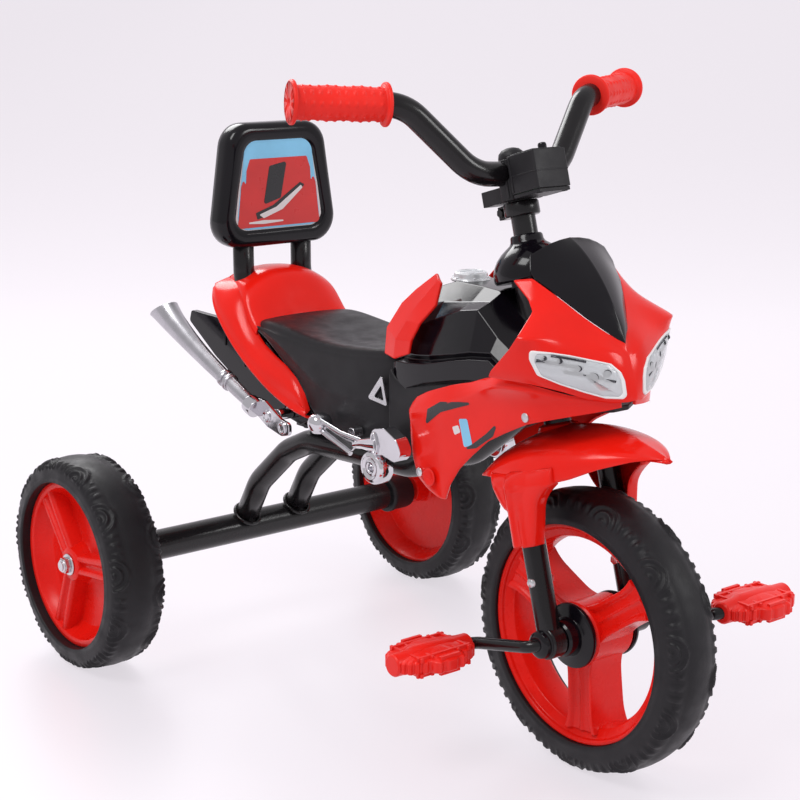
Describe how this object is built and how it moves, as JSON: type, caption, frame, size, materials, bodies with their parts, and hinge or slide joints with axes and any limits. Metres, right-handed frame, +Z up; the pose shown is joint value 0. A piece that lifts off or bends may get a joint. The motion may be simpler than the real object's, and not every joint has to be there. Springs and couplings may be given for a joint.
{
  "type": "children's tricycle",
  "caption": "Child's pedal tricycle styled like a sports motorbike, with direct-drive cranks, raked fork, faired body, moulded seat, backrest and mock exhausts.",
  "frame": {"origin": "on the ground, at the middle of the tricycle's length and width", "axes": "+Z up, +Y towards the back, +X towards the rider's left"},
  "size_m": [0.514, 0.742, 0.6081],
  "materials": {
    "black_steel": "gloss",
    "bright_steel": "polished",
    "red_plastic": "gloss",
    "black_plastic": "gloss",
    "charcoal_plastic": "satin",
    "red_grip": "satin",
    "chrome_trim": "chrome plated",
    "tyre_foam": "satin",
    "lens": "clear",
    "decal": "printed",
    "circuit": "satin"
  },
  "bodies": {
    "frame": {"rear_axle_tube": "black_steel", "main_tube_left": "black_steel", "main_tube_right": "black_steel", "head_tube": "black_steel", "head_gusset": "black_steel", "seat_bracket": "black_steel", "backrest_post_left": "black_steel", "backrest_post_right": "black_steel", "fairing_bracket": "black_steel", "headset_bushes": "charcoal_plastic", "headset_cover": "charcoal_plastic", "rear_axle_rod": "bright_steel", "axle_sleeves": "charcoal_plastic", "axle_washers": "bright_steel", "axle_nuts": "bright_steel", "front_fairing": "red_plastic", "windshield": "black_plastic", "headlight_lenses": "lens", "headlight_reflectors": "chrome_trim", "nose_underpanel": "charcoal_plastic", "tank": "black_plastic", "fuel_cap": "chrome_trim", "knee_panels": "red_plastic", "side_panels": "red_plastic", "inner_covers": "charcoal_plastic", "seat": "charcoal_plastic", "tail_cowl": "red_plastic", "tail_underpanels": "charcoal_plastic", "backrest_shell": "black_plastic", "backrest_insert": "decal", "mufflers": "chrome_trim", "exhaust_brackets": "chrome_trim", "side_brackets": "chrome_trim", "panel_screws": "bright_steel"},
    "steering": {"fork": "black_steel", "fork_bushes": "charcoal_plastic", "front_mudguard": "red_plastic", "fork_bolts": "bright_steel", "stem": "black_steel", "stem_collar": "black_steel", "handlebar_clamp": "charcoal_plastic", "stem_cap": "charcoal_plastic", "handlebar": "black_steel", "grip_left": "red_grip", "grip_right": "red_grip", "horn_box": "charcoal_plastic", "horn_box_cover": "charcoal_plastic", "sound_board": "circuit"},
    "horn_button": {"horn_button": "black_plastic"},
    "front_wheel": {"front_rim": "red_plastic", "front_tyre": "tyre_foam", "hub_flanges": "black_plastic", "crank_axle": "black_steel", "crank_collars": "black_plastic"},
    "pedal_left": {"pedal_left": "red_plastic"},
    "pedal_right": {"pedal_right": "red_plastic"},
    "rear_wheel_left": {"rear_rim_left": "red_plastic", "rear_tyre_left": "tyre_foam"},
    "rear_wheel_right": {"rear_rim_right": "red_plastic", "rear_tyre_right": "tyre_foam"}
  },
  "joints": [
    {"name": "steering", "type": "hinge", "parent": "frame", "child": "steering", "pos_m": [0, -0.243, 0.128], "axis": [0, 0.2672, 0.9636], "range_deg": [-35, 35]},
    {"name": "horn_press", "type": "slide", "parent": "steering", "child": "horn_button", "axis": [0, -0.2672, -0.9636], "range_m": [0, 0.0022], "stiffness_N_per_m": 300},
    {"name": "front_wheel_spin", "type": "hinge", "parent": "steering", "child": "front_wheel", "pos_m": [0, -0.243, 0.128], "axis": [1, 0, 0], "continuous": true},
    {"name": "pedal_left_spin", "type": "hinge", "parent": "front_wheel", "child": "pedal_left", "pos_m": [0.123, -0.32095, 0.146], "axis": [1, 0, 0], "continuous": true},
    {"name": "pedal_right_spin", "type": "hinge", "parent": "front_wheel", "child": "pedal_right", "pos_m": [-0.123, -0.16505, 0.11], "axis": [1, 0, 0], "continuous": true},
    {"name": "rear_wheel_left_spin", "type": "hinge", "parent": "frame", "child": "rear_wheel_left", "pos_m": [0.225, 0.261, 0.11], "axis": [1, 0, 0], "continuous": true},
    {"name": "rear_wheel_right_spin", "type": "hinge", "parent": "frame", "child": "rear_wheel_right", "pos_m": [-0.225, 0.261, 0.11], "axis": [1, 0, 0], "continuous": true}
  ]
}
